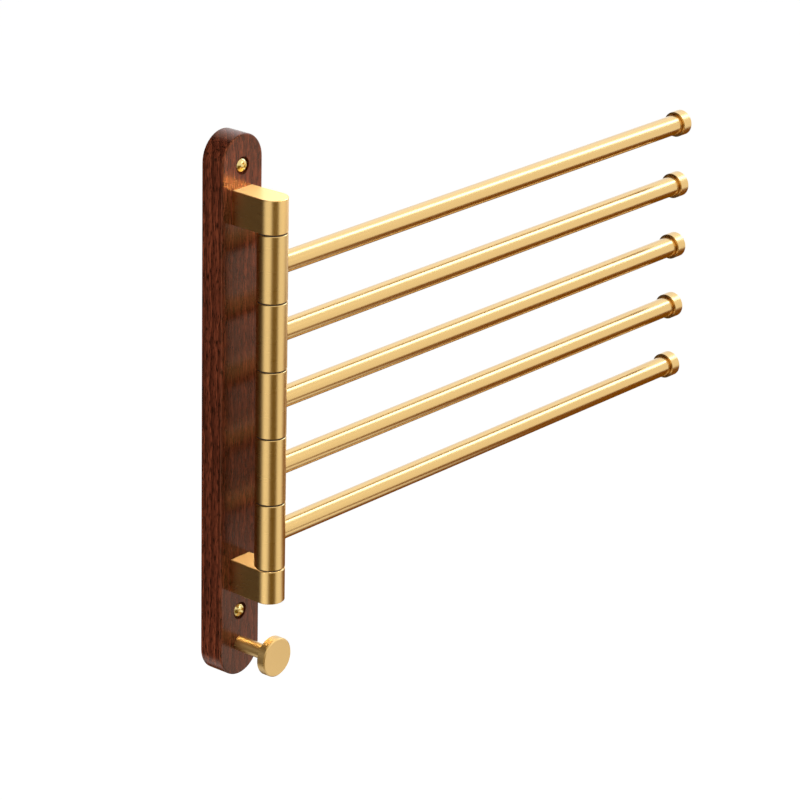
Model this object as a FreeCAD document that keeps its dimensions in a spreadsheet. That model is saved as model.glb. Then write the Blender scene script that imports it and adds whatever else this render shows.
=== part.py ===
import FreeCAD, Part
import math
import os
import Sketcher

# Swing arm towel bar: a walnut backboard carries two brass brackets, a pivot rod stands between
# them, and five barrels with long tube arms turn on the rod. A peg hook sits below.
#
# Millimetres. +X runs along the wall to the right, +Y into the wall, +Z up. The origin is the centre
# of the board's back face, so the wall is the plane Y = 0 and everything in the room has Y < 0.
# At rest the arms lie along the wall, pointing to +X.

ARMS = 5

SIZES = [
    # walnut backboard, which reaches past the brackets at both ends
    ("board_above_bracket", 31.4),
    ("board_below_bracket", 55.0),
    ("board_width", 33.0),
    ("board_depth", 15.5),
    ("board_arris", 1.0),
    # two screws that hold the board on the wall
    ("wall_screw_above_bracket", 12.9),
    ("wall_screw_below_bracket", 14.5),
    ("wall_screw_head_width", 9.0),
    ("wall_screw_head_rise", 3.1),
    ("wall_screw_head_rim", 0.5),
    ("wall_screw_shank_width", 3.4),
    ("wall_screw_thread_width", 4.5),
    ("wall_screw_grip", 12.5),
    ("wall_screw_point", 3.5),
    ("wall_screw_seat_depth", 1.8),
    ("wall_screw_head_room", 0.8),
    ("wall_screw_hole_room", 0.4),
    # pivot stack: barrels, washers and the rod through them
    ("pivot_reach", 23.0),
    ("barrel_width", 18.0),
    ("barrel_height", 40.0),
    ("barrel_edge", 0.3),
    ("washer_thickness", 0.8),
    ("washer_inset", 0.8),
    ("washer_hole_room", 0.25),
    ("rod_width", 8.0),
    ("rod_running_room", 0.05),
    ("rod_seat_room", 0.03),
    ("rod_upper_grip", 14.0),
    ("rod_end_room", 1.0),
    ("rod_head_width", 12.0),
    ("rod_head_height", 5.0),
    ("rod_head_room", 0.4),
    ("rod_head_recess", 0.6),
    ("rod_end_chamfer", 0.6),
    ("rod_socket_flats", 5.0),
    ("rod_socket_depth", 2.8),
    # brackets
    ("bracket_height", 20.4),
    ("bracket_back_width", 16.4),
    ("bracket_edge", 0.4),
    # screws from behind the board
    ("machine_screw_width", 4.0),
    ("machine_screw_head_width", 8.0),
    ("machine_screw_sink", 0.3),
    ("machine_screw_grip", 10.0),
    ("machine_screw_tip_room", 1.5),
    ("machine_screw_hole_room", 0.2),
    ("thread_room", 0.03),
    ("bracket_screw_spacing", 10.0),
    ("screw_end_chamfer", 0.5),
    # cross recess in every screw head
    ("recess_length", 4.6),
    ("recess_width", 1.1),
    ("recess_depth", 1.3),
    # arms
    ("arm_reach", 388.0),
    ("tube_width", 12.5),
    ("tube_wall", 1.0),
    ("cope_room", 0.03),
    ("plug_length", 14.0),
    ("plug_room", 0.03),
    ("plug_setback", 0.3),
    ("plug_edge", 0.5),
    ("plug_stud_width", 6.0),
    ("plug_stud_stop", 0.8),
    ("cap_width", 16.0),
    ("cap_length", 8.0),
    ("cap_floor", 1.6),
    ("cap_room", 0.04),
    ("cap_tube_stop", 0.1),
    ("cap_mouth_chamfer", 0.5),
    ("cap_edge", 0.8),
    # peg hook
    ("hook_below_bracket", 35.45),
    ("hook_reach", 30.1),
    ("hook_post_width", 9.0),
    ("hook_disc_width", 23.8),
    ("hook_rim", 5.4),
    ("hook_disc_slope", 2.0),
    ("hook_neck_radius", 4.5),
    ("hook_face_chamfer", 0.7),
]


class Length:
    """A length as a number and as the sheet formula that drives it."""

    def __init__(self, number, formula):
        self.number = number
        self.formula = formula

    def __add__(self, other):
        return Length(self.number + number(other), f"({self.formula} + {formula(other)})")

    def __sub__(self, other):
        return Length(self.number - number(other), f"({self.formula} - {formula(other)})")

    def __mul__(self, factor):
        return Length(self.number * factor, f"({self.formula} * {factor})")

    def __truediv__(self, factor):
        return Length(self.number / factor, f"({self.formula} / {factor})")

    def __neg__(self):
        return Length(-self.number, f"(-1 * {self.formula})")


def number(value):
    """The number of a Length or of a plain number."""
    return value.number if isinstance(value, Length) else value


def formula(value):
    """The formula of a Length or of a plain number."""
    return value.formula if isinstance(value, Length) else str(value)


doc = FreeCAD.newDocument("SwingArmTowelBar")
sheet = doc.addObject("Spreadsheet::Sheet", "Sizes")
for row, (alias, value) in enumerate(SIZES, start=1):
    sheet.set(f"A{row}", alias.replace("_", " "))
    sheet.set(f"B{row}", str(value))
    sheet.setAlias(f"B{row}", alias)
doc.recompute()
size = {alias: Length(value, f"Sizes.{alias}") for alias, value in SIZES}


# ---- helpers -------------------------------------------------------------------------------------


def bind(item, path, value):
    """Drive one property of an object from the sheet."""
    item.setExpression(path, formula(value))


def origin_item(body, role):
    """One of a body's own origin planes or axes."""
    return [item for item in body.Origin.OriginFeatures if item.Role == role][0]


def new_body(label, x=0.0, y=0.0, z=0.0, several=False):
    """An empty body whose place follows the sheet."""
    body = doc.addObject("PartDesign::Body", label)
    body.Label = label
    body.AllowCompound = several
    for path, value in (("Placement.Base.x", x), ("Placement.Base.y", y), ("Placement.Base.z", z)):
        bind(body, path, value)
    return body


def new_sketch(body, role, name, offset=None):
    """A sketch on one of the body's origin planes, moved along the plane's normal by offset."""
    sketch = body.newObject("Sketcher::SketchObject", f"{body.Name}_{name}")
    sketch.AttachmentSupport = [(origin_item(body, role), "")]
    sketch.MapMode = "FlatFace"
    if offset is not None:
        bind(sketch, "AttachmentOffset.Base.z", offset)
    return sketch


def dimension(sketch, kind, *args):
    """Add a dimension whose last argument is a Length or a number, and drive it from the sheet."""
    value = args[-1]
    index = sketch.addConstraint(Sketcher.Constraint(kind, *args[:-1], number(value)))
    if isinstance(value, Length):
        bind(sketch, f"Constraints[{index}]", value)


def place_point(sketch, geometry, end, x, y):
    """Fix a sketch point at x and y from the sketch's origin."""
    if number(x) == 0:
        sketch.addConstraint(Sketcher.Constraint("PointOnObject", geometry, end, -2))
    else:
        dimension(sketch, "DistanceX", -1, 1, geometry, end, x)
    if number(y) == 0:
        sketch.addConstraint(Sketcher.Constraint("PointOnObject", geometry, end, -1))
    else:
        dimension(sketch, "DistanceY", -1, 1, geometry, end, y)


def dome_arc(rim, top):
    """An arc from the rim to the top of a dome whose axis is the H axis, with its centre on the axis."""
    centre = (rim.x**2 + rim.y**2 - top.x**2) / (2 * (rim.x - top.x))
    circle = Part.Circle(FreeCAD.Vector(centre, 0, 0), FreeCAD.Vector(0, 0, 1), centre - top.x)
    return Part.ArcOfCircle(circle, math.atan2(rim.y, rim.x - centre), math.pi)


def draw_outline(sketch, corners, dome=None):
    """A closed outline of straight lines through the corners.

    From the corner with the number dome, a dome's arc runs to the next corner instead of a line.
    """
    points = [FreeCAD.Vector(number(x), number(y), 0) for x, y in corners]
    for index, (here, there) in enumerate(zip(points, points[1:] + points[:1])):
        sketch.addGeometry(dome_arc(here, there) if index == dome else Part.LineSegment(here, there))
    for index, (x, y) in enumerate(corners):
        before = (index - 1) % len(corners)
        sketch.addConstraint(Sketcher.Constraint("Coincident", before, 2, index, 1))
        place_point(sketch, index, 1, x, y)
    if dome is not None:
        sketch.addConstraint(Sketcher.Constraint("PointOnObject", dome, 3, -1))


def draw_circle(sketch, width, x=0.0, y=0.0):
    """A circle of the given diameter."""
    centre = FreeCAD.Vector(number(x), number(y), 0)
    circle = Part.Circle(centre, FreeCAD.Vector(0, 0, 1), number(width) / 2)
    index = sketch.addGeometry(circle)
    place_point(sketch, index, 3, x, y)
    dimension(sketch, "Diameter", index, width)


def turn(body, role, axis, corners, dome=None):
    """A solid turned from a half profile about the sketch's H_Axis or V_Axis."""
    sketch = new_sketch(body, role, "profile")
    draw_outline(sketch, corners, dome)
    solid = body.newObject("PartDesign::Revolution", f"{body.Name}_turned")
    solid.Profile = sketch
    solid.ReferenceAxis = (sketch, [axis])
    solid.Angle = 360
    body.Tip = solid
    doc.recompute()
    return solid


def pad(body, sketch, length):
    """Raise a sketch along its own normal."""
    solid = body.newObject("PartDesign::Pad", f"{sketch.Name}_pad")
    solid.Profile = sketch
    bind(solid, "Length", length)
    body.Tip = solid
    doc.recompute()
    return solid


def cut(body, sketch, length, forward):
    """Cut a sketch into the body, along its normal if forward, and against it if not."""
    before = body.Shape.Volume
    pocket = body.newObject("PartDesign::Pocket", f"{sketch.Name}_cut")
    pocket.Profile = sketch
    pocket.Reversed = forward
    bind(pocket, "Length", length)
    body.Tip = pocket
    doc.recompute()
    assert body.Shape.Volume < before - 0.01, f"{pocket.Name} removes nothing"
    return pocket


def repeat(body, features, axis_role, length, count):
    """Copies of the features spread evenly over a length along an origin axis."""
    before = body.Shape.Volume
    pattern = body.newObject("PartDesign::LinearPattern", f"{body.Name}_copies")
    pattern.Originals = features
    pattern.Direction = (origin_item(body, axis_role), [""])
    bind(pattern, "Length", length)
    pattern.Occurrences = count
    body.Tip = pattern
    doc.recompute()
    assert abs(body.Shape.Volume - before) > 0.01, f"{pattern.Name} adds nothing"
    return pattern


def edge_names(shape, wanted):
    """Names of the edges for which wanted(edge) holds."""
    return [f"Edge{i}" for i, edge in enumerate(shape.Edges, start=1) if wanted(edge)]


def ease(body, kind, path, width, wanted):
    """Chamfer or fillet the body's edges for which wanted(edge) holds."""
    base = body.Tip
    eased = body.newObject(f"PartDesign::{kind}", f"{body.Name}_{kind.lower()}")
    eased.Base = (base, edge_names(base.Shape, wanted))
    bind(eased, path, width)
    body.Tip = eased
    doc.recompute()
    return eased


def lies_at(edge, axis, value):
    """True if the whole edge lies in the plane axis = value."""
    box = edge.BoundBox
    low = getattr(box, f"{axis}Min")
    high = getattr(box, f"{axis}Max")
    return abs(low - value) < 1e-4 and abs(high - value) < 1e-4


def cross_recess(body, face_offset, forward):
    """A cross recess in a screw head that faces along Y, face_offset from the body's XZ plane."""
    far = size["recess_length"] / 2
    near = size["recess_width"] / 2
    sketch = new_sketch(body, "XZ_Plane", "recess", face_offset)
    corners = [(near, near), (near, far), (-near, far), (-near, near), (-far, near), (-far, -near)]
    corners += [(-near, -near), (-near, -far), (near, -far), (near, -near), (far, -near), (far, near)]
    draw_outline(sketch, corners)
    return cut(body, sketch, size["recess_depth"], forward)


# ---- places that several pieces share ------------------------------------------------------------

board_front = -size["board_depth"]
pivot_y = board_front - size["pivot_reach"]
pitch = size["barrel_height"] + size["washer_thickness"]
stack_height = size["barrel_height"] * ARMS + size["washer_thickness"] * (ARMS + 1)
bracket_span = stack_height + size["bracket_height"] * 2
board_end = (bracket_span + size["board_above_bracket"] + size["board_below_bracket"]) / 2
upper_bracket_top = board_end - size["board_above_bracket"]
lower_bracket_bottom = size["board_below_bracket"] - board_end
stack_top = upper_bracket_top - size["bracket_height"]
stack_bottom = lower_bracket_bottom + size["bracket_height"]
upper_bracket_middle = stack_top + size["bracket_height"] / 2
lower_bracket_middle = stack_bottom - size["bracket_height"] / 2
top_arm_level = stack_top - size["washer_thickness"] - size["barrel_height"] / 2
arm_levels = [top_arm_level - pitch * i for i in range(ARMS)]

barrel_radius = size["barrel_width"] / 2
rod_radius = size["rod_width"] / 2
barrel_bore = size["rod_width"] + size["rod_running_room"] * 2
rod_seat = size["rod_width"] + size["rod_seat_room"] * 2
tapped_hole = size["machine_screw_width"] + size["thread_room"] * 2
screw_reach = size["board_depth"] + size["machine_screw_grip"]
tapped_depth = size["machine_screw_grip"] + size["machine_screw_tip_room"]

upper_wall_screw = upper_bracket_top + size["wall_screw_above_bracket"]
lower_wall_screw = lower_bracket_bottom - size["wall_screw_below_bracket"]
hook_level = lower_bracket_bottom - size["hook_below_bracket"]
machine_screw_places = [
    upper_bracket_middle + size["bracket_screw_spacing"] / 2,
    upper_bracket_middle - size["bracket_screw_spacing"] / 2,
    lower_bracket_middle + size["bracket_screw_spacing"] / 2,
    lower_bracket_middle - size["bracket_screw_spacing"] / 2,
    hook_level,
]


# ---- walnut backboard: a plank with full round ends and an eased front edge -------------------------


def make_board():
    body = new_body("back_board")
    half_width = size["board_width"] / 2
    straight = board_end - half_width
    side = number(half_width)
    top = number(straight)
    sketch = new_sketch(body, "XZ_Plane", "outline")
    normal = FreeCAD.Vector(0, 0, 1)
    upper_circle = Part.Circle(FreeCAD.Vector(0, top, 0), normal, side)
    lower_circle = Part.Circle(FreeCAD.Vector(0, -top, 0), normal, side)
    sketch.addGeometry(Part.LineSegment(FreeCAD.Vector(side, -top, 0), FreeCAD.Vector(side, top, 0)))
    sketch.addGeometry(Part.ArcOfCircle(upper_circle, 0, math.pi))
    sketch.addGeometry(Part.LineSegment(FreeCAD.Vector(-side, top, 0), FreeCAD.Vector(-side, -top, 0)))
    sketch.addGeometry(Part.ArcOfCircle(lower_circle, math.pi, 2 * math.pi))
    for index in range(4):
        following = (index + 1) % 4
        sketch.addConstraint(Sketcher.Constraint("Tangent", index, 2, following, 1))
    place_point(sketch, 1, 3, 0.0, straight)
    place_point(sketch, 3, 3, 0.0, -straight)
    dimension(sketch, "Radius", 1, half_width)
    pad(body, sketch, size["board_depth"])
    front = -size["board_depth"].number
    ease(body, "Fillet", "Radius", size["board_arris"], lambda edge: lies_at(edge, "Y", front))

    wall_hole = size["wall_screw_thread_width"] + size["wall_screw_hole_room"] * 2
    wall_seat = size["wall_screw_head_width"] + size["wall_screw_head_room"] * 2
    holes = new_sketch(body, "XZ_Plane", "wall_holes", size["board_depth"])
    seats = new_sketch(body, "XZ_Plane", "wall_seats", size["board_depth"])
    for place in (upper_wall_screw, lower_wall_screw):
        draw_circle(holes, wall_hole, 0.0, place)
        draw_circle(seats, wall_seat, 0.0, place)
    cut(body, seats, size["wall_screw_seat_depth"], False)
    cut(body, holes, size["board_depth"], False)

    # The screws behind the board pass through clearance holes. Each mouth is a 90 degree countersink,
    # wider than the screw's head by the sink on each side.
    centres = new_sketch(body, "XZ_Plane", "screw_holes")
    for place in machine_screw_places:
        draw_circle(centres, size["machine_screw_width"], 0.0, place)
    doc.recompute()
    before = body.Shape.Volume
    hole = body.newObject("PartDesign::Hole", "back_board_screw_holes_cut")
    hole.Profile = centres
    hole.Reversed = True
    hole.ThreadType = "None"
    hole.DepthType = "ThroughAll"
    hole.HoleCutType = "Countersink"
    hole.HoleCutCountersinkAngle = 90
    bind(hole, "Diameter", size["machine_screw_width"] + size["machine_screw_hole_room"] * 2)
    bind(hole, "HoleCutDiameter", size["machine_screw_head_width"] + size["machine_screw_sink"] * 2)
    body.Tip = hole
    doc.recompute()
    assert body.Shape.Volume < before - 0.01, "the screw holes remove nothing"
    return body


# ---- brackets: a flared D in plan, flush with the barrels, with its flat back on the board ---------


def make_bracket(label, bottom_z):
    """The solid D-shaped block. Its own origin is on the pivot line, at its underside."""
    body = new_body(label, 0.0, pivot_y, bottom_z)
    half_back = size["bracket_back_width"] / 2
    reach = size["pivot_reach"]
    radius = barrel_radius.number
    corner_angle = math.atan2(reach.number, half_back.number)
    corner_distance = math.hypot(reach.number, half_back.number)
    touch = corner_angle - math.acos(radius / corner_distance)
    right_back = FreeCAD.Vector(half_back.number, reach.number, 0)
    left_back = FreeCAD.Vector(-half_back.number, reach.number, 0)
    right_touch = FreeCAD.Vector(radius * math.cos(touch), radius * math.sin(touch), 0)
    left_touch = FreeCAD.Vector(-right_touch.x, right_touch.y, 0)
    nose = Part.Circle(FreeCAD.Vector(0, 0, 0), FreeCAD.Vector(0, 0, 1), radius)
    sketch = new_sketch(body, "XY_Plane", "plan")
    sketch.addGeometry(Part.LineSegment(right_back, left_back))
    sketch.addGeometry(Part.LineSegment(left_back, left_touch))
    sketch.addGeometry(Part.ArcOfCircle(nose, math.pi - touch, 2 * math.pi + touch))
    sketch.addGeometry(Part.LineSegment(right_touch, right_back))
    sketch.addConstraint(Sketcher.Constraint("Coincident", 0, 2, 1, 1))
    sketch.addConstraint(Sketcher.Constraint("Coincident", 3, 2, 0, 1))
    sketch.addConstraint(Sketcher.Constraint("Tangent", 1, 2, 2, 1))
    sketch.addConstraint(Sketcher.Constraint("Tangent", 2, 2, 3, 1))
    sketch.addConstraint(Sketcher.Constraint("Coincident", 2, 3, -1, 1))
    dimension(sketch, "Radius", 2, barrel_radius)
    place_point(sketch, 0, 1, half_back, reach)
    place_point(sketch, 0, 2, -half_back, reach)
    pad(body, sketch, size["bracket_height"])
    height = size["bracket_height"].number

    def is_outer_edge(edge):
        level = lies_at(edge, "Z", 0.0) or lies_at(edge, "Z", height)
        return level and not lies_at(edge, "Y", reach.number)

    ease(body, "Chamfer", "Size", size["bracket_edge"], is_outer_edge)

    # two tapped holes in the back for the screws through the board
    tapped = new_sketch(body, "XZ_Plane", "tapped_holes", -reach)
    for side in (0.5, -0.5):
        place = size["bracket_height"] / 2 + size["bracket_screw_spacing"] * side
        draw_circle(tapped, tapped_hole, 0.0, place)
    cut(body, tapped, tapped_depth, True)
    return body


def make_upper_bracket():
    body = make_bracket("upper_bracket", stack_top)
    seat = new_sketch(body, "XY_Plane", "rod_seat")
    draw_circle(seat, rod_seat)
    cut(body, seat, size["rod_upper_grip"] + size["rod_end_room"], True)
    return body


def make_lower_bracket():
    body = make_bracket("lower_bracket", lower_bracket_bottom)
    seat = new_sketch(body, "XY_Plane", "rod_hole")
    draw_circle(seat, rod_seat)
    cut(body, seat, size["bracket_height"], True)
    head_seat = new_sketch(body, "XY_Plane", "rod_head_seat")
    draw_circle(head_seat, size["rod_head_width"] + size["rod_head_room"] * 2)
    cut(body, head_seat, size["rod_head_recess"] + size["rod_head_height"], True)
    return body


# ---- pivot rod: enters from below, its head hidden in the lower bracket ------------------------------


def make_rod():
    body = new_body("pivot_rod", 0.0, pivot_y, lower_bracket_bottom)
    head_radius = size["rod_head_width"] / 2
    chamfer = size["rod_end_chamfer"]
    head_face = size["rod_head_recess"]
    shoulder = head_face + size["rod_head_height"]
    tip = size["bracket_height"] + stack_height + size["rod_upper_grip"]
    corners = [(0.0, head_face), (head_radius - chamfer, head_face), (head_radius, head_face + chamfer)]
    corners += [(head_radius, shoulder), (rod_radius, shoulder), (rod_radius, tip - chamfer)]
    corners += [(rod_radius - chamfer, tip), (0.0, tip)]
    turn(body, "XZ_Plane", "V_Axis", corners)
    half = size["rod_socket_flats"] / 2
    point = half * (2 / math.sqrt(3))
    socket = new_sketch(body, "XY_Plane", "socket", head_face)
    corners = [(point, 0.0), (point / 2, half), (-point / 2, half)]
    corners += [(-point, 0.0), (-point / 2, -half), (point / 2, -half)]
    draw_outline(socket, corners)
    cut(body, socket, size["rod_socket_depth"], True)
    return body


def make_washers():
    body = new_body("thrust_washers", 0.0, pivot_y, stack_bottom, several=True)
    sketch = new_sketch(body, "XY_Plane", "ring")
    draw_circle(sketch, size["barrel_width"] - size["washer_inset"] * 2)
    draw_circle(sketch, size["rod_width"] + size["washer_hole_room"] * 2)
    ring = pad(body, sketch, size["washer_thickness"])
    repeat(body, [ring], "Z_Axis", pitch * ARMS, ARMS + 1)
    return body


# ---- one arm: barrel, threaded plug, tube and end cap ------------------------------------------------


def make_barrel(label, level):
    """A turned barrel with a bore that runs on the rod and a tapped hole for the arm's plug."""
    body = new_body(label, 0.0, pivot_y, level)
    edge = size["barrel_edge"]
    top = size["barrel_height"] / 2
    bore = barrel_bore / 2
    corners = [(bore, -top), (barrel_radius - edge, -top), (barrel_radius, -top + edge)]
    corners += [(barrel_radius, top - edge), (barrel_radius - edge, top), (bore, top)]
    turn(body, "XZ_Plane", "V_Axis", corners)
    tapped = new_sketch(body, "YZ_Plane", "stud_hole")
    draw_circle(tapped, size["plug_stud_width"] + size["thread_room"] * 2)
    cut(body, tapped, barrel_radius, True)
    return body


def make_tube(label, level):
    """The arm's tube, coped so that its end sits round the barrel."""
    body = new_body(label, 0.0, pivot_y, level)
    section = new_sketch(body, "YZ_Plane", "section")
    draw_circle(section, size["tube_width"])
    draw_circle(section, size["tube_width"] - size["tube_wall"] * 2)
    pad(body, section, size["arm_reach"] - size["cap_floor"] - size["cap_tube_stop"])
    cope = new_sketch(body, "XY_Plane", "cope", -size["tube_width"])
    draw_circle(cope, size["barrel_width"] + size["cope_room"] * 2)
    cut(body, cope, size["tube_width"] * 2, True)
    return body


def make_plug(label, level):
    """The plug inside the tube's end, with the stud that screws into the barrel."""
    body = new_body(label, 0.0, pivot_y, level)
    stud = size["plug_stud_width"] / 2
    core = size["tube_width"] / 2 - size["tube_wall"] - size["plug_room"]
    edge = size["plug_edge"]
    start = barrel_bore / 2 + size["plug_stud_stop"]
    shoulder = barrel_radius + size["plug_setback"]
    end = shoulder + size["plug_length"]
    corners = [(start, 0.0), (start, stud - edge), (start + edge, stud), (shoulder, stud)]
    corners += [(shoulder, core), (end - edge, core), (end, core - edge), (end, 0.0)]
    turn(body, "XZ_Plane", "H_Axis", corners)
    return body


def make_cap(label, level):
    """The cap pushed over the tube's far end."""
    body = new_body(label, 0.0, pivot_y, level)
    outer = size["cap_width"] / 2
    inner = size["tube_width"] / 2 + size["cap_room"]
    mouth = size["cap_mouth_chamfer"]
    edge = size["cap_edge"]
    end = size["arm_reach"]
    start = end - size["cap_length"]
    floor = end - size["cap_floor"]
    corners = [(floor, 0.0), (floor, inner), (start + mouth, inner), (start, inner + mouth)]
    corners += [(start, outer), (end - edge, outer), (end, outer - edge), (end, 0.0)]
    turn(body, "XZ_Plane", "H_Axis", corners)
    return body


# ---- screws from behind the board, with flat heads under the surface ---------------------------------


def make_machine_screws(label, place, count):
    body = new_body(label, 0.0, 0.0, place, several=True)
    head = size["machine_screw_head_width"] / 2
    shank = size["machine_screw_width"] / 2
    sink = size["machine_screw_sink"]
    chamfer = size["screw_end_chamfer"]
    seat = sink + head - shank
    corners = [(-sink, 0.0), (-sink, head), (-seat, shank), (-(screw_reach - chamfer), shank)]
    corners += [(-screw_reach, shank - chamfer), (-screw_reach, 0.0)]
    turned = turn(body, "YZ_Plane", "H_Axis", corners)
    recess = cross_recess(body, sink, True)
    if count > 1:
        repeat(body, [turned, recess], "Z_Axis", size["bracket_screw_spacing"] * (count - 1), count)
    return body


# ---- wall screws: domed heads in round seats, threads standing out behind the board ----------------


def make_wall_screws():
    body = new_body("wall_screws", 0.0, 0.0, lower_wall_screw, several=True)
    head = size["wall_screw_head_width"] / 2
    shank = size["wall_screw_shank_width"] / 2
    thread = size["wall_screw_thread_width"] / 2
    seat = size["board_depth"] - size["wall_screw_seat_depth"]
    rise = size["wall_screw_head_rise"]
    grip = size["wall_screw_grip"]
    shoulder = grip - size["wall_screw_point"]
    # the head is a low rim under a round dome
    corners = [(grip, 0.0), (shoulder, thread), (0.0, thread), (0.0, shank), (-seat, shank), (-seat, head)]
    corners += [(-(seat + size["wall_screw_head_rim"]), head), (-(seat + rise), 0.0)]
    turned = turn(body, "YZ_Plane", "H_Axis", corners, dome=6)
    recess = cross_recess(body, seat + rise, False)
    repeat(body, [turned, recess], "Z_Axis", upper_wall_screw - lower_wall_screw, 2)
    return body


# ---- hook: a turned peg with a disc head ---------------------------------------------------------------


def make_hook():
    body = new_body("hook", 0.0, board_front, hook_level)
    post = size["hook_post_width"] / 2
    disc = size["hook_disc_width"] / 2
    bore = tapped_hole / 2
    face = size["hook_reach"]
    chamfer = size["hook_face_chamfer"]
    rim = face - size["hook_rim"]
    root = rim - size["hook_disc_slope"]
    corners = [(0.0, bore), (0.0, post), (-root, post), (-rim, disc), (-(face - chamfer), disc)]
    corners += [(-face, disc - chamfer), (-face, 0.0), (-tapped_depth, 0.0), (-tapped_depth, bore)]
    turn(body, "YZ_Plane", "H_Axis", corners)

    def is_neck(edge):
        return lies_at(edge, "Y", -root.number)

    ease(body, "Fillet", "Radius", size["hook_neck_radius"], is_neck)
    return body


# ---- build ---------------------------------------------------------------------------------------------

nodes = [make_board(), make_upper_bracket(), make_lower_bracket(), make_rod(), make_washers()]
nodes.append(make_machine_screws("upper_bracket_screws", machine_screw_places[1], 2))
nodes.append(make_machine_screws("lower_bracket_screws", machine_screw_places[3], 2))
nodes.append(make_machine_screws("hook_screw", machine_screw_places[4], 1))
nodes.append(make_hook())
nodes.append(make_wall_screws())
for index, level in enumerate(arm_levels, start=1):
    nodes.append(make_barrel(f"barrel_{index}", level))
    nodes.append(make_plug(f"arm_plug_{index}", level))
    nodes.append(make_tube(f"arm_tube_{index}", level))
    nodes.append(make_cap(f"end_cap_{index}", level))
doc.recompute()

for item in doc.Objects:
    broken = "Invalid" in item.State or "Error" in item.State
    assert not broken, f"{item.Name} is not built: {item.State}"
for node in nodes:
    shape = node.Shape
    assert not shape.isNull() and shape.isValid(), f"{node.Label} has no sound shape"

os.makedirs("parts", exist_ok=True)
for node in nodes:
    node.Shape.exportStep(f"parts/{node.Label}.step")
    box = node.Shape.BoundBox
    print(
        f"{node.Label:22s} solids {len(node.Shape.Solids)}  volume {node.Shape.Volume:10.1f}  "
        f"X {box.XMin:8.2f} {box.XMax:8.2f}  Y {box.YMin:8.2f} {box.YMax:8.2f}  "
        f"Z {box.ZMin:8.2f} {box.ZMax:8.2f}"
    )
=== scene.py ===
# %% [markdown]
# # A swing arm towel bar in brushed brass on a walnut board
#
# Five brass arms turn one above the other on a pivot that stands off a walnut board. Nearly all of the
# object is turned, drawn or milled metal, so its real shapes come from the CAD model, which is loaded
# here as a fixed frame. What is left to do is what the eye sees on those shapes: how the wood was cut and
# lacquered, how each piece of brass was brushed, and what the studio around them looks like in the metal.
# Only the two wall screws get a new shape, because their threads and crossed recesses are too fine for
# the CAD model.

import bpy
import numpy as np
from mathutils import Matrix, Vector


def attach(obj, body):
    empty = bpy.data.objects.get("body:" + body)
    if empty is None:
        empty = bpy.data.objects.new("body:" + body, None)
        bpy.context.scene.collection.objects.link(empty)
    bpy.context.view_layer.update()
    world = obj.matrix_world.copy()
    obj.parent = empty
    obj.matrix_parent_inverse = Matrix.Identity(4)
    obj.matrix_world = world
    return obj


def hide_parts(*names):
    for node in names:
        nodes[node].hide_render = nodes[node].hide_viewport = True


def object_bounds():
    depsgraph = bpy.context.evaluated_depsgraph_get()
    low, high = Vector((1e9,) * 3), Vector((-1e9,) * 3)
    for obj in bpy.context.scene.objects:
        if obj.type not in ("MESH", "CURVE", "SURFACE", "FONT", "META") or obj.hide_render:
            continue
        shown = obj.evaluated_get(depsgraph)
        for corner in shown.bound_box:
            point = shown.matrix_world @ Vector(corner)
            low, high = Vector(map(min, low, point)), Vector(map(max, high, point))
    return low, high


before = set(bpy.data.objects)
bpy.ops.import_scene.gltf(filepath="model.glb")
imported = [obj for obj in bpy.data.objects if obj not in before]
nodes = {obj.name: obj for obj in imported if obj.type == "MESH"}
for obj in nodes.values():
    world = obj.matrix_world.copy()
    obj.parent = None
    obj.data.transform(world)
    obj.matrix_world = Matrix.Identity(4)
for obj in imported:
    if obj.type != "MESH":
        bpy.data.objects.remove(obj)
cad_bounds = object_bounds()
print("nodes:", len(nodes), "box:", [[round(v, 4) for v in corner] for corner in cad_bounds])

MM = 0.001
ARMS = [name.split("_")[-1] for name in sorted(nodes) if name.startswith("barrel_")]
print("arms:", ARMS)

# %% [markdown]
# ## Colours and nodes
#
# A colour picked from a photograph or a paint card is written for a screen, as sRGB. A shader works with
# light, which is linear, so every colour here is an sRGB hex value that one function turns to linear.
# A material is a tree of nodes. One small function adds a node, sets what it is given and links the rest,
# so that each material below reads as a list of what happens to its surface.


# %% Colour and node helpers
def linear(hex_colour):
    """The linear colour of an sRGB hex value: the screen's curve, a line near black and a power above it."""
    srgb = np.array([int(hex_colour[i : i + 2], 16) for i in (1, 3, 5)]) / 255
    light = np.where(srgb <= 0.04045, srgb / 12.92, ((srgb + 0.055) / 1.055) ** 2.4)
    return (*light.tolist(), 1.0)


def add(tree, kind, inputs=None, stops=None, **settings):
    """Adds a node: settings are its options, inputs are values or outputs to link, stops fill its ramp."""
    made = tree.nodes.new(kind)
    for name, value in settings.items():
        setattr(made, name, value)
    for socket, value in (inputs or {}).items():
        if isinstance(value, bpy.types.NodeSocket):
            tree.links.new(value, made.inputs[socket])
        else:
            made.inputs[socket].default_value = value
    for index, (place, colour) in enumerate(stops or []):
        ramp = made.color_ramp.elements
        stop = ramp[index] if index < 2 else ramp.new(place)
        stop.position = place
        stop.color = colour
    return made


def new_material(name):
    """A material with an empty tree, and that tree."""
    material = bpy.data.materials.new(name)
    material.use_nodes = True
    material.node_tree.nodes.clear()
    return material, material.node_tree


print("linear mid grey of #808080:", round(linear("#808080")[0], 3))

# %% [markdown]
# ## The camera
#
# The photograph was taken from the left, a little above, with a long lens: the arms stay almost parallel
# and the far ends are hardly smaller than the near ones. The camera's place is given as a turn round the
# object, a height angle and a distance, found by fitting the board, the brackets and the arms' ends.
# A long lens far away is the way to get that flat perspective, and a short one close by would not.

# %% Camera
CAMERA_TURN = 50.182
CAMERA_HEIGHT_ANGLE = 21.028
CAMERA_ROLL = 1.292
CAMERA_AT = Vector((-1511.195, -1393.981, 794.409)) * MM
LENS_MM = 171.78
SENSOR_MM = 36.0


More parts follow.
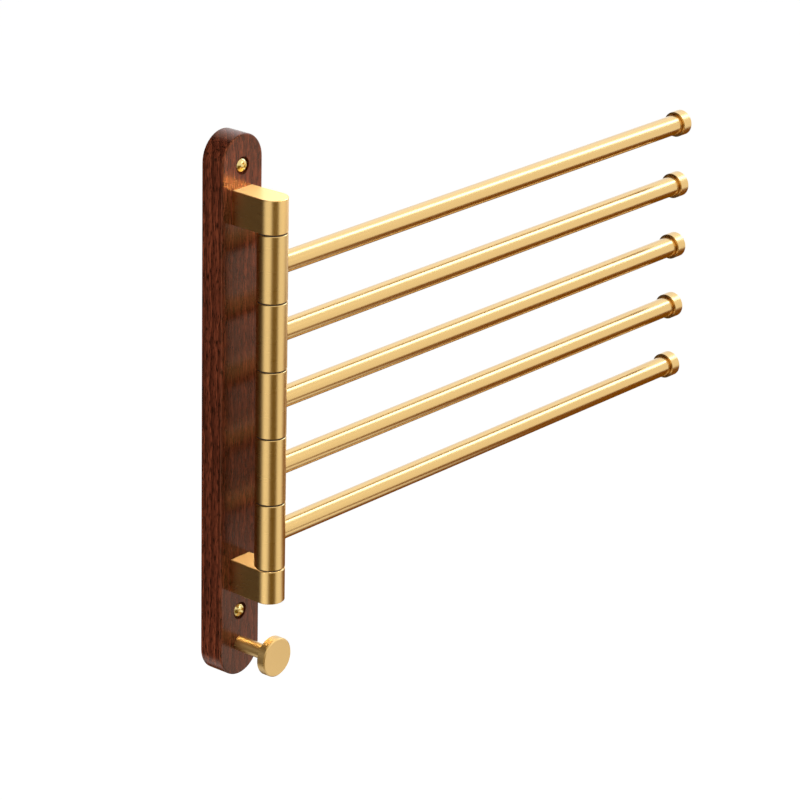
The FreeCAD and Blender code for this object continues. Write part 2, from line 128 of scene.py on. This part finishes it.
def camera_axes(turn, height_angle, roll):
    """Right, up and back of a camera that stands to the object's left by turn and above by height_angle."""
    turn, height_angle, roll = np.radians([turn, height_angle, roll])
    level = np.cos(height_angle)
    back = np.array([-np.sin(turn) * level, -np.cos(turn) * level, np.sin(height_angle)])
    right = np.array([np.cos(turn), -np.sin(turn), 0.0])
    up = np.cross(back, right)
    rolled_right = np.cos(roll) * right + np.sin(roll) * up
    rolled_up = -np.sin(roll) * right + np.cos(roll) * up
    return rolled_right, rolled_up, back


camera_data = bpy.data.cameras.new("camera")
camera_data.lens = LENS_MM
camera_data.sensor_width = SENSOR_MM
camera = bpy.data.objects.new("camera", camera_data)
bpy.context.scene.collection.objects.link(camera)
turned = Matrix(np.column_stack(camera_axes(CAMERA_TURN, CAMERA_HEIGHT_ANGLE, CAMERA_ROLL)).tolist())
camera.matrix_world = Matrix.Translation(CAMERA_AT) @ turned.to_4x4()
bpy.context.scene.camera = camera
print("camera distance:", round(CAMERA_AT.length, 3), "m, lens", LENS_MM, "mm")

# %% [markdown]
# ## The studio
#
# Metal shows its surroundings, so a studio for brass is mostly about what stands round it. A white room
# alone would make every bar one flat gold. Photographers hang large soft lamps above and put up a few
# felt cards, called flags, and the metal mirrors them as the light and dark lines that make it look
# round. The room itself is white for the camera and for whatever mirrors it, and gives an even soft light
# besides. The floor is plain matt paint that keeps the object's shadow and brightens into the room.


# %% Floor and white room
WHITE = "#FFFFFF"
FLOOR_PAINT = "#D6D6D4"
FLOOR_DROP = 0.80
FLOOR_REACH = 9.0
SHADOW_REACH = 0.8
SWEEP_REACH = 1.5
ROOM_LIGHT = 0.30
NEAR_GLOW = 0.42
FAR_GLOW = 0.80


def seen_directly(tree):
    """1 where a ray comes from the camera or from a mirroring or clear surface, else 0."""
    path = add(tree, "ShaderNodeLightPath")
    seen = path.outputs["Is Camera Ray"]
    for ray in ("Is Glossy Ray", "Is Transmission Ray"):
        seen = add(tree, "ShaderNodeMath", {0: seen, 1: path.outputs[ray]}, operation="MAXIMUM").outputs[0]
    return seen


def make_room():
    """The world: white where it is seen, and a softer level where it only lights."""
    world = bpy.data.worlds.new("white_room")
    world.use_nodes = True
    tree = world.node_tree
    tree.nodes.clear()
    soft = add(tree, "ShaderNodeBackground", {"Color": linear(WHITE), "Strength": ROOM_LIGHT})
    white = add(tree, "ShaderNodeBackground", {"Color": linear(WHITE), "Strength": 1.0})
    seen = add(tree, "ShaderNodeMixShader", {0: seen_directly(tree), 1: soft.outputs[0], 2: white.outputs[0]})
    add(tree, "ShaderNodeOutputWorld", {"Surface": seen.outputs[0]})
    return world


def make_floor_paint():
    """Matt white studio paint that, where it is seen, lifts with distance until it meets the white room."""
    material, tree = new_material("matt_white_studio_paint")
    place = add(tree, "ShaderNodeTexCoord").outputs["Object"]
    level = add(tree, "ShaderNodeMapping", {"Vector": place, "Scale": (1.0, 1.0, 0.0)})
    distance = add(tree, "ShaderNodeVectorMath", {0: level.outputs[0]}, operation="LENGTH")
    lift = add(
        tree,
        "ShaderNodeMapRange",
        {
            "Value": distance.outputs["Value"],
            "From Min": SHADOW_REACH,
            "From Max": SWEEP_REACH,
            "To Min": NEAR_GLOW,
            "To Max": FAR_GLOW,
        },
        interpolation_type="SMOOTHSTEP",
    )
    paint = add(tree, "ShaderNodeBsdfDiffuse", {"Color": linear(FLOOR_PAINT)}).outputs[0]
    glow = add(tree, "ShaderNodeEmission", {"Color": linear(WHITE), "Strength": lift.outputs[0]}).outputs[0]
    lifted = add(tree, "ShaderNodeAddShader", {0: paint, 1: glow}).outputs[0]
    seen = add(tree, "ShaderNodeMixShader", {0: seen_directly(tree), 1: paint, 2: lifted})
    add(tree, "ShaderNodeOutputMaterial", {"Surface": seen.outputs[0]})
    return material


def flat_card(name, centre, across, along, material):
    """A flat card: centre + u * across + v * along, u and v from -1 to 1. Its UV map runs from 0 to 1."""
    centre, across, along = np.array([centre, across, along])
    corners = [centre + across * u + along * v for u, v in ((-1, -1), (1, -1), (1, 1), (-1, 1))]
    mesh = bpy.data.meshes.new(name)
    mesh.from_pydata([tuple(corner) for corner in corners], [], [(0, 1, 2, 3)])
    mesh.uv_layers.new(name="card").data.foreach_set("uv", [0, 0, 1, 0, 1, 1, 0, 1])
    mesh.materials.append(material)
    card = bpy.data.objects.new(name, mesh)
    bpy.context.scene.collection.objects.link(card)
    return card


bpy.context.scene.world = make_room()
floor_z = cad_bounds[0][2] - FLOOR_DROP
flat_card("floor", (0.0, 0.0, floor_z), (FLOOR_REACH, 0.0, 0.0), (0.0, FLOOR_REACH, 0.0), make_floor_paint())
print("floor at z =", round(floor_z, 3))

# %% [markdown]
# ## Lamps
#
# Wood needs light where brass needs shade, so some softboxes light only what is matt, and the others are
# seen by what mirrors too, or by that alone. Four small accents brighten the brackets' tops and the hook's
# peg. Each would burn out the bars beside its piece, so light linking keeps it for that piece alone, as
# black cards would in a real studio. The board stands between some accents and their pieces, so they cast
# no shadows. Importance sampling would leave part of their light to mirror rays, which the board stops
# even so, and is off for them.

# %% Lamps
MIDDLE = (0.12, -0.03, 0.0)
BRACKET_TOP = (0.0, -0.035, 0.135)
BOARD_TOP = (0.0, -0.016, 0.15)
LOWER_BRACKET_TOP = (0.0, -0.03, -0.093)
PEG = (0.0, -0.03, -0.138)
COOL = "#C8E0FF"
SKY = "#A8D0FF"
WARM = "#FFE0A8"
SOFTBOXES = (
    # name, place, what it faces, width, length, watts, colour, who sees it
    ("overhead_softbox", (1.27, 0.30, 1.11), MIDDLE, 2.0, 1.0, 2.2, COOL, "all"),
    ("strip_softbox", (1.2, -0.32, 1.0), MIDDLE, 0.30, 1.3, 5.5, SKY, "mirrors"),
    ("key_softbox", (0.9, -1.9, 1.0), MIDDLE, 0.9, 0.9, 6.0, WHITE, "all"),
    ("left_softbox", (-1.9, 0.15, -0.35), MIDDLE, 0.9, 0.9, 14.0, WHITE, "matt"),
    ("board_softbox", (0.10, -0.20, 0.33), BOARD_TOP, 0.15, 0.15, 0.45, WHITE, "matt"),
)
ACCENTS = (
    # name, place, what it faces, side, watts, colour, the one piece that it lights
    ("accent_in_front", (0.15, -0.16, 0.21), BRACKET_TOP, 0.12, 1.0, WARM, "upper_bracket"),
    ("accent_behind", (0.17, 0.085, 0.37), BRACKET_TOP, 0.18, 0.38, WHITE, "upper_bracket"),
    ("accent_low", (0.21, 0.15, 0.013), LOWER_BRACKET_TOP, 0.15, 0.14, WARM, "lower_bracket"),
    ("accent_on_the_peg", (0.048, 0.161, 0.115), PEG, 0.22, 0.25, WARM, "hook"),
)


def soft_lamp(name, place, target, width, length, watts, colour, seen_by):
    """A rectangular soft lamp at a place, facing a target, with its length as upright as it can be.

    seen_by says which surfaces it reaches: all, only the matt ones, or only the ones that mirror.
    """
    data = bpy.data.lights.new(name, "AREA")
    data.shape = "RECTANGLE"
    data.size = width
    data.size_y = length
    data.energy = watts
    data.color = linear(colour)[:3]
    lamp = bpy.data.objects.new(name, data)
    bpy.context.scene.collection.objects.link(lamp)
    lamp.location = place
    lamp.rotation_euler = (Vector(target) - Vector(place)).to_track_quat("-Z", "Y").to_euler()
    lamp.visible_camera = False
    lamp.visible_glossy = seen_by != "matt"
    lamp.visible_diffuse = seen_by != "mirrors"
    return lamp


def light_only(lamp, piece):
    """Keeps a lamp for one piece, and lets nothing stand in its way."""
    lit = bpy.data.collections.new(lamp.name + "_lights")
    lit.objects.link(piece)
    lamp.light_linking.receiver_collection = lit
    lamp.data.use_shadow = False
    lamp.data.cycles.use_multiple_importance_sampling = False


for softbox in SOFTBOXES:
    soft_lamp(*softbox)
for name, place, target, side, watts, colour, piece_name in ACCENTS:
    light_only(soft_lamp(name, place, target, side, side, watts, colour, "mirrors"), nodes[piece_name])

# %% [markdown]
# ## Flags
#
# A flag is a felt card that the metal mirrors as a dark line. A hard edge would show in the brass as a
# ruled line, so the felt thins out towards the card's rim. Four flags stand round the object, a metre from
# its middle, and give the upright barrels their lines. Two lie level below the arms and darken their
# undersides. Only reflections show them, so they take no light from the wood.

# %% Flags
CARD_HALF = 0.5
OLIVE = "#B08A10"
AMBER = "#BC7608"
BROWN = "#5A3E20"
DARK_BROWN = "#3A2A1A"
STANDING_FLAGS = (
    # name, colour, turn, height angle, half width, half height, full part of each
    ("flag_by_the_camera", OLIVE, 34.0, -21.0, 0.62, 0.6, (0.45, 0.7)),
    ("flag_behind_left", BROWN, 158.0, -18.0, 1.7, 0.6, (0.3, 0.7)),
    ("flag_above_left", BROWN, 140.0, 36.0, 0.6, 0.7, (0.5, 0.6)),
    ("flag_below_behind", DARK_BROWN, 211.0, -45.0, 0.5, 0.5, (0.5, 0.5)),
)
LEVEL_FLAGS = (
    # name, colour, centre, half width along Y, half length along X, full part of each
    ("flag_below_right", AMBER, (0.95, 0.0, -0.40), 0.90, 0.45, (0.7, 0.75)),
    ("flag_below_bars", AMBER, (0.40, 0.27, -0.41), 0.55, 0.35, (0.6, 0.5)),
)


def make_flag_felt(name, colour, full):
    """Felt that is full in the middle, up to full of the half width and length, and thins out to the rim."""
    material, tree = new_material(name)
    place = add(tree, "ShaderNodeTexCoord").outputs["UV"]
    middle = (CARD_HALF, CARD_HALF, 0.0)
    centred = add(tree, "ShaderNodeVectorMath", {0: place, 1: middle}, operation="SUBTRACT")
    away = add(tree, "ShaderNodeVectorMath", {0: centred.outputs[0]}, operation="ABSOLUTE")
    ways = add(tree, "ShaderNodeSeparateXYZ", {0: away.outputs[0]})
    covers = [
        add(
            tree,
            "ShaderNodeMapRange",
            {
                "Value": ways.outputs[axis],
                "From Min": CARD_HALF * part,
                "From Max": CARD_HALF,
                "To Min": 1.0,
                "To Max": 0.0,
            },
            interpolation_type="SMOOTHSTEP",
        ).outputs[0]
        for axis, part in zip("XY", full)
    ]
    cover = add(tree, "ShaderNodeMath", {0: covers[0], 1: covers[1]}, operation="MULTIPLY")
    felt = add(tree, "ShaderNodeBsdfDiffuse", {"Color": linear(colour)})
    gap = add(tree, "ShaderNodeBsdfTransparent", {"Color": linear(WHITE)})
    edge = add(tree, "ShaderNodeMixShader", {0: cover.outputs[0], 1: gap.outputs[0], 2: felt.outputs[0]})
    add(tree, "ShaderNodeOutputMaterial", {"Surface": edge.outputs[0]})
    return material


def hang_flag(name, colour, centre, across, along, full):
    """A flag that only mirrors show: across and along run from its centre to the middles of two edges."""
    flag = flat_card(name, centre, across, along, make_flag_felt(name + "_felt", colour, full))
    flag.visible_camera = False
    flag.visible_diffuse = False
    flag.visible_shadow = False


def stand_flag(name, colour, turn, height_angle, half_width, half_height, full):
    """A flag a metre from the object's middle and facing it, at a turn to its left and a height angle."""
    right, up, outwards = camera_axes(turn, height_angle, 0.0)
    hang_flag(name, colour, np.array(MIDDLE) + outwards, right * half_width, up * half_height, full)


for standing_flag in STANDING_FLAGS:
    stand_flag(*standing_flag)
for name, colour, centre, half_width, half_length, full in LEVEL_FLAGS:
    hang_flag(name, colour, centre, (0.0, half_width, 0.0), (half_length, 0.0, 0.0), full)

# %% [markdown]
# ## Walnut
#
# The board is American black walnut, sawn along the trunk, sanded and sprayed with a satin lacquer. What
# the eye gets from that: growth rings that run as long, slightly wandering lines up the face and as arcs
# across the rounded ends, fine dark pores a few millimetres long, a brown that drifts between reddish and
# grey, and a soft shine on top, a little amber, as the lacquer is. A picture of wood wrapped round the
# board would break at its edges. A solid pattern, worked out from the place of each point as in a real
# plank, turns every corner rightly.


# %% Walnut material
PITH_AT = (-62.0 * MM, 48.0 * MM, 0.0)
RING_SPACING = 4.2 * MM
WAVE_SPACING = 0.314
GRAIN = {
    # a cell's width and length, then its noise's scale, detail, roughness and distortion
    "clouds": (9.0 * MM, 45.0 * MM, 1.0, 5.0, 0.62, 0.5),
    "pores": (0.45 * MM, 3.2 * MM, 0.6, 2.0, 0.5, 0.0),
    "fibres": (0.6 * MM, 5.5 * MM, 0.7, 3.0, 0.6, 0.0),
}
CLOUD_SHARE = 0.65
FIBRE_SHARE = 0.45
WOOD_TONES = ((0.32, "#381910"), (0.45, "#5C2A1A"), (0.55, "#763824"), (0.68, "#9A4E32"))
PORE_COLOUR = "#2C1108"
PORE_STOPS = ((0.36, (1.0, 1.0, 1.0, 1.0)), (0.50, (0.0, 0.0, 0.0, 1.0)))
PORE_DEPTH = 0.05 * MM
LACQUER_AMBER = "#FFAC74"


def make_walnut():
    """Lacquered walnut: rings round a pith outside the board, clouds of tone, and pores along the grain.

    WAVE_SPACING is the distance between the wave texture's rings at scale 1, in metres. PORE_STOPS turn
    the lowest parts of a noise to 1, inside a pore, and the rest to 0.
    """
    material, tree = new_material("satin_lacquered_walnut")
    place = add(tree, "ShaderNodeTexCoord").outputs["Object"]
    from_pith = add(tree, "ShaderNodeMapping", {"Vector": place, "Location": tuple(-v for v in PITH_AT)})
    rings = add(
        tree,
        "ShaderNodeTexWave",
        {
            "Vector": from_pith.outputs[0],
            "Scale": WAVE_SPACING / RING_SPACING,
            "Distortion": 5.0,
            "Detail": 3.0,
            "Detail Scale": 0.35,
            "Detail Roughness": 0.55,
        },
        wave_type="RINGS",
        rings_direction="Z",
        wave_profile="SAW",
    )
    grain = {}
    for layer, (width, length, scale, detail, roughness, distortion) in GRAIN.items():
        cell = add(tree, "ShaderNodeMapping", {"Vector": place, "Scale": (1 / width, 1 / width, 1 / length)})
        grain[layer] = add(
            tree,
            "ShaderNodeTexNoise",
            {
                "Vector": cell.outputs[0],
                "Scale": scale,
                "Detail": detail,
                "Roughness": roughness,
                "Distortion": distortion,
            },
        ).outputs["Fac"]
    pores = add(tree, "ShaderNodeValToRGB", {0: grain["pores"]}, stops=PORE_STOPS).outputs[0]
    figure = add(
        tree,
        "ShaderNodeMix",
        {"Factor": CLOUD_SHARE, "A": rings.outputs["Fac"], "B": grain["clouds"]},
        data_type="FLOAT",
    )
    tone = add(
        tree,
        "ShaderNodeMix",
        {"Factor": FIBRE_SHARE, "A": figure.outputs[0], "B": grain["fibres"]},
        data_type="FLOAT",
    )
    tones = [(level, linear(colour)) for level, colour in WOOD_TONES]
    wood = add(tree, "ShaderNodeValToRGB", {0: tone.outputs[0]}, stops=tones)
    pored = add(
        tree,
        "ShaderNodeMix",
        {"Factor": pores, "A": wood.outputs[0], "B": linear(PORE_COLOUR)},
        data_type="RGBA",
    )
    dips = add(
        tree,
        "ShaderNodeBump",
        {"Height": pores, "Strength": 0.25, "Distance": PORE_DEPTH},
        invert=True,
    )
    shader = add(
        tree,
        "ShaderNodeBsdfPrincipled",
        {
            "Base Color": pored.outputs[2],
            "Roughness": 0.22,
            "IOR": 1.65,
            "Specular Tint": linear(LACQUER_AMBER),
            "Normal": dips.outputs[0],
        },
    )
    add(tree, "ShaderNodeOutputMaterial", {"Surface": shader.outputs[0]})
    return material


walnut = make_walnut()
print("walnut: a ring every", round(RING_SPACING / MM, 1), "mm")

# %% [markdown]
# ## Brushed brass
#
# Every metal piece in sight is solid brass, brushed to a satin and lacquered so that it stays pale gold.
# A brush leaves fine scratches in the way it ran: round a turned barrel or cap, along a drawn tube, and
# out along a milled bracket. They are about a tenth of a millimetre apart, too fine to draw at this
# distance, so they are drawn here a few times as coarse and kept faint. The scratches change the roughness
# and the slope of the surface a little and leave the colour alone, as on the real thing. The lacquer is a
# thin coat over the metal, and adds a pale gleam where the metal turns away from the eye.


# %% Brass materials
BRASS = "#E7BF76"
BRUSH_LINE = 0.22 * MM
BRUSH_RUN = 14.0 * MM
BRUSH_DEPTH = 0.01 * MM
SATIN_SPREAD = 0.02
NOISE_LOW, NOISE_HIGH = 0.3, 0.7
SLOPING, LEVEL = 0.6, 0.95
LACQUER_COAT = {"Coat Weight": 0.6, "Coat Roughness": 0.25, "Coat IOR": 1.5}


def make_brushed_brass(name, run, satin=0.29, level_satin=None):
    """Satin brass whose brush lines run along the axes named in run, such as "X" or "XY".

    satin is its roughness. Faces that lie level take level_satin instead, where it is given.
    """
    material, tree = new_material(name)
    place = add(tree, "ShaderNodeTexCoord").outputs["Object"]
    steps = tuple(1 / (BRUSH_RUN if axis in run else BRUSH_LINE) for axis in "XYZ")
    stretched = add(tree, "ShaderNodeMapping", {"Vector": place, "Scale": steps})
    lines = add(
        tree,
        "ShaderNodeTexNoise",
        {"Vector": stretched.outputs[0], "Scale": 0.5, "Detail": 3.0, "Roughness": 0.6},
    ).outputs["Fac"]
    roughness = add(
        tree,
        "ShaderNodeMapRange",
        {
            "Value": lines,
            "From Min": NOISE_LOW,
            "From Max": NOISE_HIGH,
            "To Min": satin - SATIN_SPREAD,
            "To Max": satin + SATIN_SPREAD,
        },
    ).outputs[0]
    if level_satin is not None:
        facing = add(tree, "ShaderNodeTexCoord").outputs["Normal"]
        upward = add(tree, "ShaderNodeSeparateXYZ", {0: facing}).outputs["Z"]
        level = add(tree, "ShaderNodeMath", {0: upward}, operation="ABSOLUTE").outputs[0]
        roughness = add(
            tree,
            "ShaderNodeMapRange",
            {
                "Value": level,
                "From Min": SLOPING,
                "From Max": LEVEL,
                "To Min": roughness,
                "To Max": level_satin,
            },
        ).outputs[0]
    slopes = add(tree, "ShaderNodeBump", {"Height": lines, "Strength": 0.05, "Distance": BRUSH_DEPTH})
    shader = add(
        tree,
        "ShaderNodeBsdfPrincipled",
        {
            "Base Color": linear(BRASS),
            "Metallic": 1.0,
            "Roughness": roughness,
            "Normal": slopes.outputs[0],
            **LACQUER_COAT,
        },
    )
    add(tree, "ShaderNodeOutputMaterial", {"Surface": shader.outputs[0]})
    return material


turned_brass = make_brushed_brass("brass_brushed_round_the_pivot", "XY")
drawn_brass = make_brushed_brass("brass_brushed_along_the_arm", "X", satin=0.22)
capped_brass = make_brushed_brass("brass_brushed_round_the_cap", "YZ")
hook_brass = make_brushed_brass("brass_brushed_round_the_hook", "XZ", satin=0.38)
milled_brass = make_brushed_brass("brass_brushed_along_the_bracket", "Y", level_satin=0.5)
print("brass: brush lines drawn", round(BRUSH_LINE / MM, 2), "mm apart")

# %% [markdown]
# ## Small hardware
#
# The two screws in sight are plain bright brass, smoother than the brushed pieces. The washers between
# the barrels are nylon, a soft dull plastic, coloured near black as painted shade for the narrow gaps
# between the barrels, so that each shows as a thin dark line. The pivot, the studs and the screws from
# behind are zinc-plated steel. None of them is brushed, so a roughness that drifts in small patches is
# enough for the metals, and a fine grain for the nylon.


# %% Hardware materials
def make_plain_metal(name, colour, patch, detail, smooth, dull):
    """Metal as it was rolled or plated: its roughness drifts from smooth to dull, in patches of one size."""
    material, tree = new_material(name)
    place = add(tree, "ShaderNodeTexCoord").outputs["Object"]
    cloud = add(tree, "ShaderNodeTexNoise", {"Vector": place, "Scale": 1 / patch, "Detail": detail})
    wear = add(tree, "ShaderNodeMapRange", {"Value": cloud.outputs["Fac"], "To Min": smooth, "To Max": dull})
    shader = add(
        tree,
        "ShaderNodeBsdfPrincipled",
        {"Base Color": linear(colour), "Metallic": 1.0, "Roughness": wear.outputs[0]},
    )
    add(tree, "ShaderNodeOutputMaterial", {"Surface": shader.outputs[0]})
    return material


def make_nylon_in_painted_shade():
    """Moulded nylon with a dull, slightly waxy skin, coloured a brownish black as painted shade for the gaps.
    """
    material, tree = new_material("nylon_dark_as_painted_shade")
    place = add(tree, "ShaderNodeTexCoord").outputs["Object"]
    grain = add(tree, "ShaderNodeTexNoise", {"Vector": place, "Scale": 1 / (0.4 * MM), "Detail": 2.0})
    skin = add(
        tree,
        "ShaderNodeBump",
        {"Height": grain.outputs["Fac"], "Strength": 0.2, "Distance": 0.02 * MM},
    )
    shader = add(
        tree,
        "ShaderNodeBsdfPrincipled",
        # The brownish black is painted shade: it darkens the washers the way the narrow gaps between the
        # barrels are shaded.
        {"Base Color": linear("#2A211C"), "Roughness": 0.6, "IOR": 1.53, "Normal": skin.outputs[0]},
    )
    add(tree, "ShaderNodeOutputMaterial", {"Surface": shader.outputs[0]})
    return material


# Rolled and tumbled brass, as wood screws have: yellower than the lacquered pieces, and smoother.
bright_brass = make_plain_metal("bright_screw_brass", "#EBD28C", 1.2 * MM, 2.0, smooth=0.14, dull=0.26)
nylon = make_nylon_in_painted_shade()
# Zinc plate on steel: a pale blue-grey metal, faintly cloudy from the bath.
zinc = make_plain_metal("zinc_plated_steel", "#BFC2C4", 2.5 * MM, 3.0, smooth=0.22, dull=0.42)
print("hardware:", bright_brass.name, nylon.name, zinc.name)

# %% [markdown]
# ## Putting the finishes on
#
# Each CAD piece keeps its own mesh and place, and only the material in its slots changes.

# %% Finishes
FINISHES = {
    "back_board": walnut,
    "upper_bracket": milled_brass,
    "lower_bracket": milled_brass,
    "hook": hook_brass,
    "pivot_rod": zinc,
    "thrust_washers": nylon,
    "upper_bracket_screws": zinc,
    "lower_bracket_screws": zinc,
    "hook_screw": zinc,
    "wall_screws": bright_brass,
}
for arm in ARMS:
    FINISHES[f"barrel_{arm}"] = turned_brass
    FINISHES[f"arm_tube_{arm}"] = drawn_brass
    FINISHES[f"end_cap_{arm}"] = capped_brass
    FINISHES[f"arm_plug_{arm}"] = zinc

for name, node in nodes.items():
    if not node.material_slots:
        node.data.materials.append(None)
    for slot in node.material_slots:
        slot.material = FINISHES[name]
print("finishes:", len({material.name for material in FINISHES.values()}), "on", len(FINISHES), "nodes")

# %% [markdown]
# ## The wall screws
#
# The two wall screws are the only fasteners whose whole length shows, so they are modelled as they are
# made. A head is struck with a crossed recess whose wings rise to the surface. The thread is rolled into
# the wire: a ridge that climbs one pitch in each turn and dies away towards the point. Both are one
# surface of rows round the axis, and a row's radius and place follow from formulas. The columns crowd
# together at the walls of the recess, so that its edges come out straight.


# %% A screw's head
HEAD_RADIUS = 4.5 * MM
HEAD_RIM = -14.2 * MM
DOME_TOP = -16.8 * MM
DOME_CUT = 0.06 * MM
AXIS_GAP = 0.02 * MM
RECESS_REACH = 2.3 * MM
RECESS_HALF_WIDTH = 0.55 * MM
RECESS_DEPTH = 1.5 * MM
RECESS_DRAFT = 1.15
RECESS_CURVE = 0.6
RECESS_ROWS = 16
DOME_ROWS = 10
OUTER_COLUMNS = 7
DIAGONAL = np.pi / 4
EDGE_LIMIT = 0.95 * DIAGONAL
WALL_LIMIT = 0.97 * DIAGONAL
EDGE_SLACK = 1.02


def recess_columns(radius):
    """The columns' angles on rings of the given radii, and 1 for each point inside the recess, else 0.

    A wing's edge stands where the ring crosses its half width w, at the angle asin(w / radius), and its
    wall ends a little further out. Nearer the axis than the wings' inner corners, at radius w * sqrt(2),
    the whole ring is inside. The angles up to the diagonal are mirrored in it and then repeat each quarter.
    """
    edge = np.arcsin(np.minimum(RECESS_HALF_WIDTH / radius, np.sin(EDGE_LIMIT)))
    wall = np.minimum(edge * RECESS_DRAFT, WALL_LIMIT)
    outer = wall + (DIAGONAL - wall) * np.linspace(0, 1, OUTER_COLUMNS)[None, 1:]
    eighth = np.hstack([np.zeros_like(edge), edge * 0.5, edge, wall, outer])
    quarter = np.hstack([eighth, np.pi / 2 - eighth[:, -2:0:-1]])
    angles = np.hstack([quarter + turn * np.pi / 2 for turn in range(4)])
    off_wing = radius * np.minimum(np.abs(np.cos(angles)), np.abs(np.sin(angles)))
    return angles, (off_wing < RECESS_HALF_WIDTH * EDGE_SLACK).astype(float)


def head_rows():
    """The head from its middle to its rim: arrays of x, y and z in metres round the Y axis, and the angles.

    Dome: y = c - sqrt(R^2 - r^2), an arc from the rim to the top, which is cut level. Recess: the dome is
    pushed in by depth * (1 - r / reach)^curve.
    """
    rise = HEAD_RIM - DOME_TOP
    dome_radius = (HEAD_RADIUS**2 + rise**2) / (2 * rise)
    dome_centre = DOME_TOP + dome_radius
    struck = np.linspace(AXIS_GAP, RECESS_REACH, RECESS_ROWS)
    around = np.linspace(RECESS_REACH, HEAD_RADIUS, DOME_ROWS)[1:]
    radius = np.concatenate([struck, around])[:, None]
    angles, inside = recess_columns(radius)
    dome = dome_centre - np.sqrt(dome_radius**2 - radius**2)
    depth = RECESS_DEPTH * np.clip(1 - radius / RECESS_REACH, 0, 1) ** RECESS_CURVE
    y = np.maximum(dome, DOME_TOP + DOME_CUT) + depth * inside
    return radius * np.cos(angles), y, radius * np.sin(angles), angles


print("screw head:", " x ".join(str(n) for n in head_rows()[0].shape), "points")

# %% A screw's shank and thread
HEAD_SEAT = -13.7 * MM
SEAT_CHAMFER = 0.1 * MM
SHANK_RADIUS = 1.7 * MM
SHANK_FILLET = 0.2 * MM
SHANK_END = -0.3 * MM
THREAD_START = 0.0
TAPER_START = 8.5 * MM
TAPER_CURVE = 0.8
POINT = 12.5 * MM
CREST_RADIUS = 2.25 * MM
ROOT_RADIUS = 1.55 * MM
PITCH = 1.8 * MM
RIDGE_PART = 0.24
ROWS_A_PITCH = 20


def shank_rows(angles):
    """The screw from under its rim to its point, with columns at the given angles: arrays of x, y and z.

    Thread: r = root + (crest - root) * ridge(y / pitch - angle / turn). The ridge is a tent over part of
    the pitch, it runs in over the first turn, and the whole radius tapers away towards the point.
    """
    shank = np.array(
        [
            (HEAD_RADIUS, HEAD_SEAT - SEAT_CHAMFER),
            (HEAD_RADIUS - SEAT_CHAMFER, HEAD_SEAT),
            (SHANK_RADIUS + SHANK_FILLET, HEAD_SEAT),
            (SHANK_RADIUS, HEAD_SEAT + SHANK_FILLET),
            (SHANK_RADIUS, SHANK_END),
        ]
    )
    count = int(round((POINT - THREAD_START) / PITCH * ROWS_A_PITCH))
    thread_y = np.linspace(THREAD_START, POINT, count)[:, None]
    phase = (thread_y / PITCH - angles / (2 * np.pi)) % 1.0
    ridge = np.clip(1 - np.abs(phase - 0.5) / RIDGE_PART, 0, 1)
    run_in = np.clip((thread_y - THREAD_START) / PITCH, 0, 1)
    taper = np.clip((POINT - thread_y) / (POINT - TAPER_START), 0, 1) ** TAPER_CURVE
    full_radius = ROOT_RADIUS + (CREST_RADIUS - ROOT_RADIUS) * ridge * run_in
    thread_radius = full_radius * taper + AXIS_GAP * (1 - taper)
    all_round = np.zeros_like(angles)
    radius = np.vstack([shank[:, :1] + all_round, thread_radius])
    y = np.vstack([shank[:, 1:], thread_y]) + all_round
    return radius * np.cos(angles), y, radius * np.sin(angles)


print("thread:", round((POINT - THREAD_START) / PITCH, 1), "turns,", round(PITCH / MM, 1), "mm apart")

# %% Both wall screws
SCREWS = ((147.5 * MM, 22.0), (-125.5 * MM, -31.0))
SHARP_ANGLE = 38.0


def make_screws(name, places):
    """All the screws as one mesh: head and shank, turned by an angle in degrees and set at a height."""
    *head, angles = head_rows()
    x, y, z = [np.vstack(pair) for pair in zip(head, shank_rows(angles[-1:]))]
    rows, columns = x.shape
    points, faces = [], []
    here = np.arange(rows * columns).reshape(rows, columns)
    there = np.roll(here, -1, axis=1)
    quads = np.stack([here[:-1], here[1:], there[1:], there[:-1]], axis=-1).reshape(-1, 4)
    for index, (height, turn) in enumerate(places):
        turn = np.radians(turn)
        turned_x = x * np.cos(turn) - z * np.sin(turn)
        turned_z = x * np.sin(turn) + z * np.cos(turn)
        points.append(np.stack([turned_x, y, turned_z + height], axis=-1).reshape(-1, 3))
        start = index * rows * columns
        faces += (quads + start).tolist() + [(here[0] + start).tolist(), (here[-1][::-1] + start).tolist()]
    mesh = bpy.data.meshes.new(name)
    mesh.from_pydata(np.vstack(points).tolist(), [], faces)
    mesh.validate()
    mesh.update()
    mesh.shade_smooth()
    mesh.set_sharp_from_angle(angle=np.radians(SHARP_ANGLE))
    screws = bpy.data.objects.new(name, mesh)
    bpy.context.scene.collection.objects.link(screws)
    return screws


threaded_screws = make_screws("threaded_wall_screws", SCREWS)
threaded_screws.data.materials.append(bright_brass)
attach(threaded_screws, "wall_frame")
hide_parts("wall_screws")
print("wall screws:", len(threaded_screws.data.polygons), "faces")

# %% [markdown]
# ## The view
#
# The view transform is Standard, so that a colour renders as it was picked.

# %% Finish
bpy.context.scene.view_settings.view_transform = "Standard"
